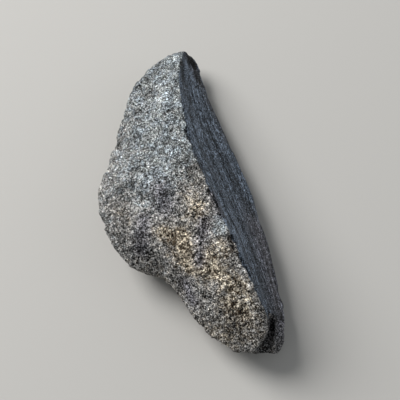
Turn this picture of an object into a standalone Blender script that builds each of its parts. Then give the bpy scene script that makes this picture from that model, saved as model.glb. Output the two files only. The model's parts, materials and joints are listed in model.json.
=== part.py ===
"""A raw piece of nuummite: one long, wedge-shaped chunk of dark rock, lying on its broken back.

The frame: x runs across the stone, y runs from its blunt foot to its tip, and z is up. The origin is
under the middle of the stone, on the surface that it rests on. The grainy front face looks up and to
the left (-x), the smooth streaked cleavage face looks up and to the right (+x), and the ridge is the
edge between them. Sizes and places are in mm until the mesh is written in metres.
"""

import math

import bmesh
import bpy
import numpy as np
from mathutils import Vector, noise

MM = 0.001

# Material: the stone's mean colour, as linear values
STONE_COLOUR = (0.135, 0.135, 0.13, 1.0)
STONE_ROUGHNESS = 0.68

# Feature lines
# Each line is an edge or a crest of the block that the stone broke from, as (x, y, z). It runs from
# below the foot to above the tip, where the breaks further down cut it off.
LEFT_EDGE = (
    (13.0, -73.0, 8.0),
    (7.0, -63.5, 10.0),
    (1.5, -56.0, 11.0),
    (-3.7, -49.5, 12.0),
    (-6.0, -43.5, 12.0),
    (-8.4, -36.5, 12.0),
    (-13.0, -30.0, 13.0),
    (-21.8, -24.5, 15.0),
    (-27.0, -18.5, 16.0),
    (-30.6, -9.0, 17.0),
    (-31.7, 3.5, 18.0),
    (-29.7, 11.0, 18.0),
    (-24.2, 20.5, 17.0),
    (-18.1, 32.7, 16.0),
    (-14.0, 42.6, 16.0),
    (-9.8, 51.0, 15.0),
    (1.0, 73.0, 14.0),
)
SHOULDER = (
    (16.0, -73.0, 13.0),
    (10.0, -60.5, 18.0),
    (3.8, -51.0, 20.0),
    (-0.5, -42.5, 21.0),
    (-5.2, -32.0, 23.0),
    (-15.4, -21.0, 24.0),
    (-21.8, -9.5, 25.0),
    (-23.2, 0.5, 26.0),
    (-20.9, 9.7, 25.5),
    (-15.2, 22.0, 24.0),
    (-8.3, 36.0, 22.0),
    (-2.0, 47.3, 20.0),
    (8.0, 73.0, 13.0),
)
RIDGE = (
    (23.5, -73.0, 15.0),
    (23.2, -59.5, 24.0),
    (21.2, -54.0, 28.0),
    (18.0, -42.3, 34.0),
    (15.5, -28.4, 38.0),
    (12.6, -14.2, 39.0),
    (10.7, -2.5, 38.0),
    (8.7, 11.0, 36.0),
    (8.7, 25.6, 32.0),
    (10.1, 39.3, 28.0),
    (11.5, 49.8, 24.0),
    (14.2, 58.3, 19.0),
    (19.0, 73.0, 9.0),
)
RIGHT_EDGE = (
    (31.4, -73.0, 6.0),
    (32.4, -60.0, 8.0),
    (31.8, -46.2, 10.0),
    (32.3, -35.8, 10.0),
    (32.3, -22.9, 10.0),
    (31.5, -12.6, 10.0),
    (30.6, -0.5, 10.0),
    (28.6, 13.6, 10.0),
    (26.2, 25.6, 10.0),
    (23.6, 39.8, 9.5),
    (23.6, 50.0, 7.5),
    (25.0, 73.0, 3.0),
)
UNDERSIDE = (
    (0.0, -73.0, 5.5),
    (0.0, -50.0, 1.6),
    (0.0, -30.0, 0.0),
    (0.0, 24.0, 0.0),
    (0.0, 48.0, 2.2),
    (0.0, 73.0, 7.0),
)

CORE = (
    (16.0, -56.0, 13.0),
    (11.0, -40.0, 15.0),
    (0.0, -10.0, 17.0),
    (2.0, 20.0, 16.0),
    (9.0, 54.0, 12.0),
)

# Breaks
# Each break is a flat fracture: a point on it, and the direction that it faces. The rock on that
# side is gone.
BREAKS = {
    "foot end": ((16.0, -66.4, 10.0), (-0.20, -0.96, -0.18)),
    "foot, outer corner": ((27.4, -65.5, 6.0), (0.60, -0.79, -0.10)),
    "foot, under the lobe": ((4.0, -58.0, 9.0), (-0.50, -0.58, -0.64)),
    "foot, underside": ((18.0, -62.0, 3.4), (0.06, -0.34, -0.94)),
    "lobe, right corner": ((22.0, -60.8, 22.5), (0.80, -0.40, 0.45)),
    "lobe, end": ((18.6, -64.4, 18.0), (0.22, -0.82, 0.53)),
    "tip, left flank": ((-3.0, 56.0, 15.0), (-0.62, 0.74, -0.26)),
    "tip, left end": ((6.0, 62.6, 14.5), (-0.45, 0.85, -0.28)),
    "tip, end": ((14.0, 65.8, 13.5), (-0.16, 0.94, -0.30)),
    "tip, right": ((20.6, 61.0, 10.5), (0.90, 0.16, 0.40)),
    "tip, underside": ((10.0, 66.0, 8.0), (0.02, 0.38, -0.92)),
    "upper right, underside": ((22.0, 42.0, 3.2), (0.62, 0.10, -0.78)),
    "belly, left flank": ((-30.9, 0.0, 15.0), (-0.80, -0.10, -0.58)),
    "belly, underside": ((-26.0, 0.0, 5.5), (-0.36, 0.14, -0.92)),
    "scoop, underside": ((-8.0, -42.0, 4.0), (-0.46, -0.30, -0.84)),
    "upper left flank": ((-20.0, 28.0, 11.0), (-0.72, 0.36, -0.58)),
    "right flank, lower": ((30.2, -30.0, 6.5), (0.84, -0.04, -0.54)),
    "right flank, upper": ((26.0, 20.0, 5.5), (0.76, 0.12, -0.64)),
}

# Cuts at the foot
# The rock above the rear lump is missing, a cleft parts the lump from the front lobe, and a corner is
# missing under the lobe. Each cut takes away the column of rock above its floor, whose corners these
# are.
CUTS = {
    "above_the_lump": (
        (23.6, -55.6, 20.4),
        (34.0, -55.6, 12.8),
        (34.0, -74.0, -3.3),
        (23.6, -74.0, 4.2),
    ),
    "cleft": (
        (22.6, -53.8, 25.8),
        (23.4, -57.0, 13.5),
        (22.8, -62.0, 10.0),
        (19.0, -73.0, 6.5),
        (24.6, -57.2, 18.0),
        (23.9, -61.0, 14.5),
        (20.4, -73.0, 8.0),
    ),
    "under_the_lobe": (
        (23.0, -59.8, 10.5),
        (11.0, -69.9, 8.0),
        (20.6, -74.0, 6.0),
    ),
}
CUT_TOP = 45.0

# Ledges
# Steps in the rock where one layer broke off further than the next. Each has a point on the step, the
# direction across it towards the missing layer, the side of the stone that it is on, and its height.
LEDGES = {
    "underside, tip half": ((2.0, 15.0, 0.0), (0.30, 0.95, 0.0), (0.0, 0.0, -1.0), 1.9),
    "underside, left": ((-17.0, 0.0, 3.0), (-0.93, 0.36, 0.0), (0.0, 0.0, -1.0), 1.6),
    "underside, foot": ((10.0, -41.0, 0.0), (0.22, -0.97, 0.0), (0.0, 0.0, -1.0), 1.5),
    "left flank": ((-15.0, 37.0, 12.0), (0.55, 0.83, 0.10), (-0.85, 0.45, -0.25), 1.3),
    "right flank": ((29.0, -6.0, 5.0), (0.0, -0.30, -0.95), (0.95, 0.0, -0.25), 1.1),
    "foot, right lump": ((28.0, -56.5, 14.0), (0.12, -0.99, 0.0), (0.78, 0.0, 0.62), 1.1),
}
LEDGE_WIDTH = 2.2
LEDGE_FADE = 6.0
LEDGE_RAGGEDNESS = 3.5
LEDGE_RAG_SIZE = 9.0

# Hollows and swells
# Each is a point on the surface, a radius and a depth. A swell has a negative depth. The surface moves
# out to DENT_EXTENT times the radius.
DENT_EXTENT = 2.0
DENTS = {
    "trough in the front, upper end": ((-2.7, -4.2, 34.0), 8.0, 0.8),
    "trough in the front, middle": ((-8.9, -11.5, 31.0), 8.0, 1.0),
    "trough in the front, lower end": ((-14.0, -22.5, 26.0), 7.5, 0.8),
    "swell beside the trough": ((2.8, -28.3, 34.0), 9.0, -0.9),
    "swell near the tip": ((3.0, 35.6, 25.0), 9.0, -0.7),
    "hollow near the tip": ((-4.0, 45.0, 20.0), 6.0, 0.7),
    "hollow near the foot": ((7.0, -49.0, 28.0), 7.0, 0.8),
    "swell in the foot's right flank": ((30.0, -62.0, 8.0), 5.5, -2.0),
    "hollow in the belly flank": ((-28.0, -6.0, 9.0), 7.0, 1.3),
    "hollow in the scoop": ((-13.0, -33.0, 8.0), 6.0, 1.2),
    "hollow in the right flank": ((30.0, -34.0, 5.0), 6.0, 1.1),
    "underside, hollow at the foot": ((12.0, -52.0, 1.5), 7.0, 1.6),
    "underside, hollow at the tip": ((8.0, 45.0, 2.5), 8.0, 1.8),
    "underside, hollow on the left": ((-15.0, 14.0, 2.0), 7.0, 1.4),
}
PITS = {
    "pit at the ridge, upper": ((8.0, 20.1, 32.6), 1.9, 1.3),
    "slit in the ridge": ((14.2, -27.2, 37.6), 2.0, 1.4),
    "slit in the ridge, lower end": ((15.2, -30.2, 37.2), 1.7, 1.1),
    "pit at the ridge, lower": ((17.6, -37.6, 35.4), 1.8, 1.2),
    "notch in the left edge": ((-20.4, 28.9, 16.4), 2.4, 1.5),
    "notch in the left edge, inner end": ((-18.4, 27.2, 18.6), 1.9, 1.1),
    "pit in the belly": ((-27.6, 9.6, 20.0), 1.8, 1.0),
    "pit in the foot": ((11.0, -55.0, 26.6), 1.9, 1.1),
}

# Chips
# Small flakes off the ridge and the edges: a point on the flake's scar, the direction that the scar
# faces, and how far it reaches.
CHIPS = {
    "ridge, tip": ((10.6, 47.0, 24.9), (0.55, 0.10, 0.83), 4.0),
    "ridge, upper": ((8.9, 30.0, 30.2), (0.30, -0.12, 0.95), 4.5),
    "ridge, above the middle": ((8.9, 12.0, 35.2), (0.42, 0.16, 0.89), 4.0),
    "ridge, middle": ((11.3, -6.0, 37.7), (0.10, -0.15, 0.98), 5.0),
    "ridge, below the middle": ((13.9, -20.0, 37.9), (0.50, 0.10, 0.86), 4.5),
    "ridge, lower": ((16.8, -36.4, 35.4), (0.62, -0.12, 0.77), 4.0),
    "ridge, foot": ((20.0, -49.6, 30.0), (0.35, -0.35, 0.87), 4.5),
    "left edge, belly": ((-31.0, -5.0, 17.4), (-0.88, -0.30, 0.36), 5.0),
    "left edge, above the belly": ((-27.0, 15.4, 17.4), (-0.72, 0.30, 0.62), 4.5),
    "left edge, below the belly": ((-22.0, -23.6, 15.0), (-0.62, -0.74, 0.24), 4.5),
    "left edge, foot": ((-1.6, -51.4, 12.2), (-0.80, -0.50, 0.34), 4.5),
    "right edge, upper": ((26.4, 21.6, 9.6), (0.86, 0.12, 0.50), 4.0),
    "right edge, middle": ((30.8, -12.0, 9.8), (0.90, -0.08, 0.43), 4.5),
    "right edge, lower": ((31.2, -44.0, 9.4), (0.88, -0.20, 0.43), 4.5),
    "tip, point": ((14.6, 65.0, 14.5), (0.10, 0.80, 0.59), 3.5),
}

# Unevenness of the broken faces: how far each pattern lifts the surface, and its size along x, y and z
SWELL = (1.1, (26.0, 26.0, 26.0))
LUMPS = (0.75, (11.0, 11.0, 11.0))
CREASES = (1.1, (16.0, 16.0, 16.0))
GRIT = (0.32, (4.2, 4.2, 4.2))
STREAKS = (0.5, (3.6, 48.0, 3.6))
CREASE_LIFT = 0.4
CREASE_SHIFT = Vector((31.0, 7.0, 19.0))
FACE_SHARES = {"front": 0.62, "cleavage": 0.25, "broken": 1.0}

# Where the kinds of face are, by the direction that the surface faces
CLEAVAGE_LEAST_X = 0.5
CLEAVAGE_LEAST_Z = 0.25
CLEAVAGE_FOOT = -55.0
FRONT_LEAST_Z = 0.45

# Form
SOFTNESS = 4.0
GRID = 2.8
LONGEST_EDGE = 4.2
FINE_EDGE = 1.7
FINE_REACH = 2.0
CUT_EDGE = 2.6
SHORTEST_EDGE = 0.5
FLAT_ANGLE = 0.05
CLEAVAGE_CROWN = 0.9
CLEAVAGE_CROWN_PLACE = 0.45
LEFT_UNDERCUT = 3.0
LEFT_LOW_HEIGHT = 5.0
LEFT_LEAST_DROP = 2.0
RIGHT_UNDERCUT = 1.0
RIGHT_LOW_HEIGHT = 3.0
RIGHT_LEAST_DROP = 1.0
BASE_LEFT_SHARE = 0.25
BASE_RIGHT_SHARE = 0.85
REST_HEIGHT = 0.55


def at(line, y):
    """The point where a feature line passes this y."""
    xs, ys, zs = zip(*line)
    return Vector((np.interp(y, ys, xs), y, np.interp(y, ys, zs)))


def softly_at(line, y):
    """The same, with the line's corners rounded off."""
    places = [at(line, y + SOFTNESS * step) for step in (-1.0, -0.5, 0.0, 0.5, 1.0)]
    return sum(places, Vector()) / len(places)


def section(y):
    """The corners of the stone's cross-section at this y, from the left edge over the ridge."""
    left = softly_at(LEFT_EDGE, y)
    shoulder = softly_at(SHOULDER, y)
    ridge = softly_at(RIDGE, y)
    right = softly_at(RIGHT_EDGE, y)
    left.y = shoulder.y = ridge.y = right.y = y
    base = at(UNDERSIDE, y).z
    crown = CLEAVAGE_CROWN * Vector((0.0, 1.0, 0.0)).cross(right - ridge).normalized()
    middle = ridge.lerp(right, CLEAVAGE_CROWN_PLACE) + crown
    right_low_height = min(base + RIGHT_LOW_HEIGHT, right.z - RIGHT_LEAST_DROP)
    left_low_height = min(base + LEFT_LOW_HEIGHT, left.z - LEFT_LEAST_DROP)
    right_low = Vector((right.x - RIGHT_UNDERCUT, y, right_low_height))
    left_low = Vector((left.x + LEFT_UNDERCUT, y, left_low_height))
    base_left = left.lerp(right_low, BASE_LEFT_SHARE)
    base_right = left.lerp(right_low, BASE_RIGHT_SHARE)
    base_left.z = base
    base_right.z = base
    return [left, shoulder, ridge, middle, right, right_low, base_right, base_left, left_low]


def block():
    """The stone before its breaks: cross-sections joined from foot to tip, closed at both ends."""
    start = LEFT_EDGE[0][1]
    end = LEFT_EDGE[-1][1]
    rings = round((end - start) / GRID)
    sections = [section(start + (end - start) * i / rings) for i in range(rings + 1)]
    sides = len(sections[0])
    cells = []
    for i in range(sides):
        widest = max((s[(i + 1) % sides] - s[i]).length for s in sections)
        cells.append(max(1, round(widest / GRID)))
    mesh = bmesh.new()
    loops = []
    for corners in sections:
        points = []
        for i in range(sides):
            a, b = corners[i], corners[(i + 1) % sides]
            points.extend(a.lerp(b, step / cells[i]) for step in range(cells[i]))
        loops.append([mesh.verts.new(p) for p in points])
    count = len(loops[0])
    for lower, upper in zip(loops, loops[1:]):
        for i in range(count):
            j = (i + 1) % count
            mesh.faces.new((lower[i], upper[i], upper[j], lower[j]))
    mesh.faces.new(loops[0])
    mesh.faces.new(list(reversed(loops[-1])))
    bmesh.ops.recalc_face_normals(mesh, faces=mesh.faces[:])
    return mesh


def break_off(mesh, point, facing):
    """Cuts the rock off on the side that the fracture faces, and closes the cut with one flat face."""
    everything = mesh.verts[:] + mesh.edges[:] + mesh.faces[:]
    bmesh.ops.bisect_plane(
        mesh, geom=everything, plane_co=Vector(point), plane_no=Vector(facing), clear_outer=True
    )
    rim = [edge for edge in mesh.edges if edge.is_boundary]
    if rim:
        bmesh.ops.triangle_fill(mesh, use_beauty=True, edges=rim, normal=Vector(facing))


def refine(mesh, longest):
    """Splits the long edges until no triangle is wider than the local limit, longest(point)."""
    bmesh.ops.triangulate(mesh, faces=mesh.faces[:])
    while True:
        long_edges = []
        for edge in mesh.edges:
            a, b = edge.verts
            if edge.calc_length() > longest((a.co + b.co) / 2.0):
                long_edges.append(edge)
        if not long_edges:
            break
        bmesh.ops.subdivide_edges(mesh, edges=long_edges, cuts=1)
        bmesh.ops.triangulate(mesh, faces=mesh.faces[:])
        flat = [e for e in mesh.edges if e.is_manifold and e.calc_face_angle() < FLAT_ANGLE]
        bmesh.ops.beautify_fill(mesh, faces=mesh.faces[:], edges=flat)


def pattern(point, layer):
    """One layer of unevenness at this point: its amplitude times a smooth value from -1 to 1."""
    amplitude, (wide, long, high) = layer
    place = Vector((point.x / wide, point.y / long, point.z / high))
    return amplitude * noise.noise(place)


def face_kind(point, facing):
    """Which kind of face a point of the surface is on."""
    if facing.x > CLEAVAGE_LEAST_X and facing.z > CLEAVAGE_LEAST_Z and point.y > CLEAVAGE_FOOT:
        return "cleavage"
    if facing.z > FRONT_LEAST_Z:
        return "front"
    return "broken"


def unevenness(point, facing):
    """How far the broken rock stands out from the plain block here, in mm."""
    kind = face_kind(point, facing)
    rock = pattern(point, SWELL) + pattern(point, LUMPS) + pattern(point, GRIT)
    rock += CREASE_LIFT * CREASES[0] - abs(pattern(point + CREASE_SHIFT, CREASES))
    height = FACE_SHARES[kind] * rock
    if kind == "cleavage":
        height += pattern(point, STREAKS)
    return height


def outwards(point):
    """The direction from the stone's core to a point of its surface."""
    y = min(max(point.y, CORE[0][1]), CORE[-1][1])
    return (point - at(CORE, y)).normalized()


def roughen(mesh):
    """Turns the flat breaks into uneven rock."""
    mesh.normal_update()
    for vert in mesh.verts:
        vert.co += outwards(vert.co) * unevenness(vert.co, vert.normal)


def dent(mesh, centre, radius, depth):
    """Presses a round hollow into the surface, or raises a swell where the depth is negative."""
    centre = Vector(centre)
    mesh.normal_update()
    near = [vert for vert in mesh.verts if (vert.co - centre).length < DENT_EXTENT * radius]
    facing = sum((vert.normal for vert in near), Vector()).normalized()
    for vert in near:
        share = (vert.co - centre).length / radius
        vert.co -= facing * depth * math.exp(-share * share)


def ledge(mesh, point, across, side, height):
    """Lowers the surface on one side of the stone beyond a ragged step."""
    point, across, side = Vector(point), Vector(across).normalized(), Vector(side).normalized()
    for vert in mesh.verts:
        offset = vert.co - point
        near = min(max(1.0 + offset.dot(side) / LEDGE_FADE, 0.0), 1.0)
        ragged = LEDGE_RAGGEDNESS * noise.noise(vert.co / LEDGE_RAG_SIZE)
        beyond = min(max((offset.dot(across) + ragged) / LEDGE_WIDTH, 0.0), 1.0)
        vert.co -= side * height * near * beyond


def chip(mesh, point, facing, reach):
    """Flattens whatever stands above the scar of a small flake."""
    point, facing = Vector(point), Vector(facing).normalized()
    for vert in mesh.verts:
        offset = vert.co - point
        above = offset.dot(facing)
        share = offset.length / reach
        if above > 0.0 and share < 1.0:
            vert.co -= facing * above * (1.0 - share**4)


def longest_edge(point):
    """The longest edge allowed near this point: shorter at the pits and the chips."""
    small = [(centre, radius + FINE_REACH) for centre, radius, depth in PITS.values()]
    small += [(scar, reach) for scar, facing, reach in CHIPS.values()]
    near = any((point - Vector(centre)).length < reach for centre, reach in small)
    return FINE_EDGE if near else LONGEST_EDGE


def stone_mesh():
    """The whole stone but for the cuts at its foot."""
    mesh = block()
    for point, facing in BREAKS.values():
        break_off(mesh, point, facing)
    bmesh.ops.remove_doubles(mesh, verts=mesh.verts[:], dist=SHORTEST_EDGE)
    refine(mesh, longest_edge)
    roughen(mesh)
    for point, across, side, height in LEDGES.values():
        ledge(mesh, point, across, side, height)
    for centre, radius, depth in [*DENTS.values(), *PITS.values()]:
        dent(mesh, centre, radius, depth)
    for point, facing, reach in CHIPS.values():
        chip(mesh, point, facing, reach)
    break_off(mesh, (0.0, 0.0, REST_HEIGHT), (0.0, 0.0, -1.0))
    bmesh.ops.triangulate(mesh, faces=mesh.faces[:])
    return mesh


def cut_column(floor):
    """The rock above a cut's floor, as a closed block with uneven walls."""
    mesh = bmesh.new()
    for x, y, z in floor:
        mesh.verts.new((x, y, z))
        mesh.verts.new((x, y, CUT_TOP))
    bmesh.ops.convex_hull(mesh, input=mesh.verts[:])
    bmesh.ops.recalc_face_normals(mesh, faces=mesh.faces[:])
    refine(mesh, lambda point: CUT_EDGE)
    roughen(mesh)
    return mesh


def add_object(name, mesh):
    """A new object in the scene from a bmesh in mm, with its mesh in metres."""
    bmesh.ops.scale(mesh, vec=Vector((MM, MM, MM)), verts=mesh.verts[:])
    data = bpy.data.meshes.new(name)
    mesh.to_mesh(data)
    mesh.free()
    obj = bpy.data.objects.new(name, data)
    bpy.context.scene.collection.objects.link(obj)
    return obj


def stone_material():
    """Dark grey rock, dull to half glossy."""
    material = bpy.data.materials.new("nuummite")
    material.use_nodes = True
    shader = material.node_tree.nodes["Principled BSDF"]
    shader.inputs["Base Color"].default_value = STONE_COLOUR
    shader.inputs["Roughness"].default_value = STONE_ROUGHNESS
    shader.inputs["Metallic"].default_value = 0.0
    return material


def cut_away(obj, name, floor):
    """Takes the rock above the floor off the object, and gives back the cutter."""
    cutter = add_object(name + "_cutter", cut_column(floor))
    cutter.hide_render = True
    cutter.display_type = "WIRE"
    cut = obj.modifiers.new(name, "BOOLEAN")
    cut.operation = "DIFFERENCE"
    cut.object = cutter
    return cutter


def resting_point(obj):
    """The middle of the object's bounding box, at the height of its lowest point."""
    bpy.context.view_layer.update()
    evaluated = obj.evaluated_get(bpy.context.evaluated_depsgraph_get())
    corners = np.array([corner[:] for corner in evaluated.bound_box])
    low = corners.min(axis=0)
    high = corners.max(axis=0)
    return Vector(((low[0] + high[0]) / 2.0, (low[1] + high[1]) / 2.0, low[2]))


def main():
    for old in list(bpy.data.objects):
        bpy.data.objects.remove(old)
    stone = add_object("nuummite_stone", stone_mesh())
    stone.data.materials.append(stone_material())
    cutters = [cut_away(stone, name, floor) for name, floor in CUTS.items()]
    origin = resting_point(stone)
    for obj in [stone, *cutters]:
        obj.location = -origin


main()
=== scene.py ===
"""The looks of a raw piece of nuummite: grainy broken faces and one smooth, streaked cleavage face.

The frame is the solid's own: x runs across the stone, y from its blunt foot to its tip, z is up, and
the stone rests on z = 0. Places on the stone are in mm; meshes, lights and the camera are in metres.
"""

import json
import logging
import math
from dataclasses import dataclass
from enum import Enum

import bpy
import numpy as np
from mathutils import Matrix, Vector, noise

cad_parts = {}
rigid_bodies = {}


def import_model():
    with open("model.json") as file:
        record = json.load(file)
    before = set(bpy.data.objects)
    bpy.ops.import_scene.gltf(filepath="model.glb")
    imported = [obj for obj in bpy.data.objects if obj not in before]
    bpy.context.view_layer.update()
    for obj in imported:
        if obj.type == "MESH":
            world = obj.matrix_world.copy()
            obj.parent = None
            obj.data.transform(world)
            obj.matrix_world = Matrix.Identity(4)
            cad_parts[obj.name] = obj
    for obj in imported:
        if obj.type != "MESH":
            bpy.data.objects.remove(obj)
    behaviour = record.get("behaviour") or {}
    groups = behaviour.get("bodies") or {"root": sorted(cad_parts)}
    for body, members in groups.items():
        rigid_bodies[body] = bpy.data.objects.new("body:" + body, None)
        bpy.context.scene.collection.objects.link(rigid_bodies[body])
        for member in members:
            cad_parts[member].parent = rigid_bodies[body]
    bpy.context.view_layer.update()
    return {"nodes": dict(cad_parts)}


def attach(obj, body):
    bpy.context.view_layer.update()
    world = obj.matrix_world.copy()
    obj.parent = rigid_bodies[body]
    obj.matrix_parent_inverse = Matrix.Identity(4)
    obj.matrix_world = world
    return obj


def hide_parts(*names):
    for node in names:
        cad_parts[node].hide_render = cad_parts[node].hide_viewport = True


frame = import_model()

MM = 0.001
MIDDLE_COLOUR = (0.5, 0.5, 0.5)
# How far a pattern's seed moves it along each axis
SEED_STEPS = (1.0, 1.7, 2.3)
Pair = tuple[float, float]
Triple = tuple[float, float, float]
Point = Triple
Line = tuple[Point, ...]
Colour = tuple[float, float, float, float]
log = logging.getLogger("nuummite")


class Mask(Enum):
    """The maps painted on the stone's surface, by the name of their attribute."""

    ROUGH = "rough"
    CLEAVAGE = "cleavage"
    TONE = "tone"
    WARMTH = "warmth"
    CREST = "crest"
    DULL = "dull"
    DEPTH = "depth"
    ALONG = "along"


@dataclass(frozen=True)
class Stroke:
    """A soft mark along a short line on the stone: a tone, a stain, a groove or a swell.

    Attributes:
        start: One end, in mm.
        end: The other end, in mm.
        reach: The distance at which it has faded to about a third, in mm.
        amount: How strong, or how deep or high, it is along its middle.
    """

    start: Point
    end: Point
    reach: float
    amount: float


def only(piece: bpy.types.Object) -> None:
    """Selects one object alone and makes it the active one.

    Args:
        piece: The object that the next operators work on.
    """
    bpy.ops.object.select_all(action="DESELECT")
    piece.select_set(True)
    bpy.context.view_layer.objects.active = piece


def soft_step(values: np.ndarray, low: float, high: float) -> np.ndarray:
    """Turns values into shares that rise smoothly from 0 at low to 1 at high.

    Args:
        values: Any numbers.
        low: The value where the rise starts.
        high: The value where it ends.

    Returns:
        The shares, from 0 to 1.
    """
    share = np.clip((values - low) / (high - low), 0.0, 1.0)
    return share * share * (3.0 - 2.0 * share)


def along_line(line: Line, y: np.ndarray) -> np.ndarray:
    """Finds where a line that runs from foot to tip passes each y.

    Args:
        line: The line's points, from foot to tip, in mm.
        y: The places along the stone, in mm.

    Returns:
        One point a row, in mm.
    """
    xs, ys, zs = np.array(line).T
    return np.stack([np.interp(y, ys, xs), y, np.interp(y, ys, zs)], axis=1)


class Surface:
    """The points, normals and edges of a mesh as arrays, in mm."""

    def __init__(self, piece: bpy.types.Object) -> None:
        """Reads the mesh of a piece.

        Args:
            piece: A mesh object at the origin.
        """
        mesh = piece.data
        self.count = len(mesh.vertices)
        points = np.zeros(self.count * 3, np.float32)
        mesh.vertices.foreach_get("co", points)
        self.points = points.reshape(-1, 3).astype(float) / MM
        normals = np.zeros(self.count * 3, np.float32)
        mesh.vertex_normals.foreach_get("vector", normals)
        self.normals = normals.reshape(-1, 3).astype(float)
        edges = np.zeros(len(mesh.edges) * 2, np.int32)
        mesh.edges.foreach_get("vertices", edges)
        self.edges = edges.reshape(-1, 2)

    def with_neighbours(self, values: np.ndarray) -> np.ndarray:
        """Adds to each point's value those of the points that an edge joins it to.

        Args:
            values: One number for each point.

        Returns:
            The sums.
        """
        first, second = self.edges.T
        from_second = np.bincount(first, values[second], self.count)
        from_first = np.bincount(second, values[first], self.count)
        return values + from_second + from_first

    def spread(self, values: np.ndarray, rounds: int) -> np.ndarray:
        """Averages each point's value with its neighbours', again and again.

        Args:
            values: One number, or one row of numbers, for each point.
            rounds: How often it is done.

        Returns:
            The averaged values, in the same form.
        """
        members = self.with_neighbours(np.ones(self.count))
        columns = values.reshape(self.count, -1).T
        for _ in range(rounds):
            columns = np.array([self.with_neighbours(column) / members for column in columns])
        return columns.T.reshape(values.shape)

    def sharpness(self, rounds: int) -> np.ndarray:
        """Tells the edges of the stone from its faces.

        Args:
            rounds: How far around each point the normals are compared.

        Returns:
            A share for each point, near 0 on a face and higher the more the normals around it turn.
        """
        return 1.0 - np.linalg.norm(self.spread(self.normals, rounds), axis=1)

    def noise(self, size: float, amount: float, seed: float) -> np.ndarray:
        """A smooth pattern about 0.

        Args:
            size: The size of its blotches, in mm.
            amount: How strongly it swings.
            seed: A shift that makes each pattern differ from the others.

        Returns:
            The pattern's value at each point.
        """
        shift = Vector([seed * step for step in SEED_STEPS])
        return amount * np.array([noise.noise(Vector(point) / size + shift) for point in self.points])

    def strokes(self, strokes: tuple[Stroke, ...]) -> np.ndarray:
        """Adds up soft marks.

        Args:
            strokes: The marks.

        Returns:
            Their sum at each point.
        """
        total = np.zeros(self.count)
        for stroke in strokes:
            start = np.array(stroke.start)
            run = np.array(stroke.end) - start
            share = np.clip((self.points - start) @ run / (run @ run), 0.0, 1.0)
            distance = np.linalg.norm(self.points - start - share[:, None] * run, axis=1)
            total += stroke.amount * np.exp(-((distance / stroke.reach) ** 2))
        return total


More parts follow.
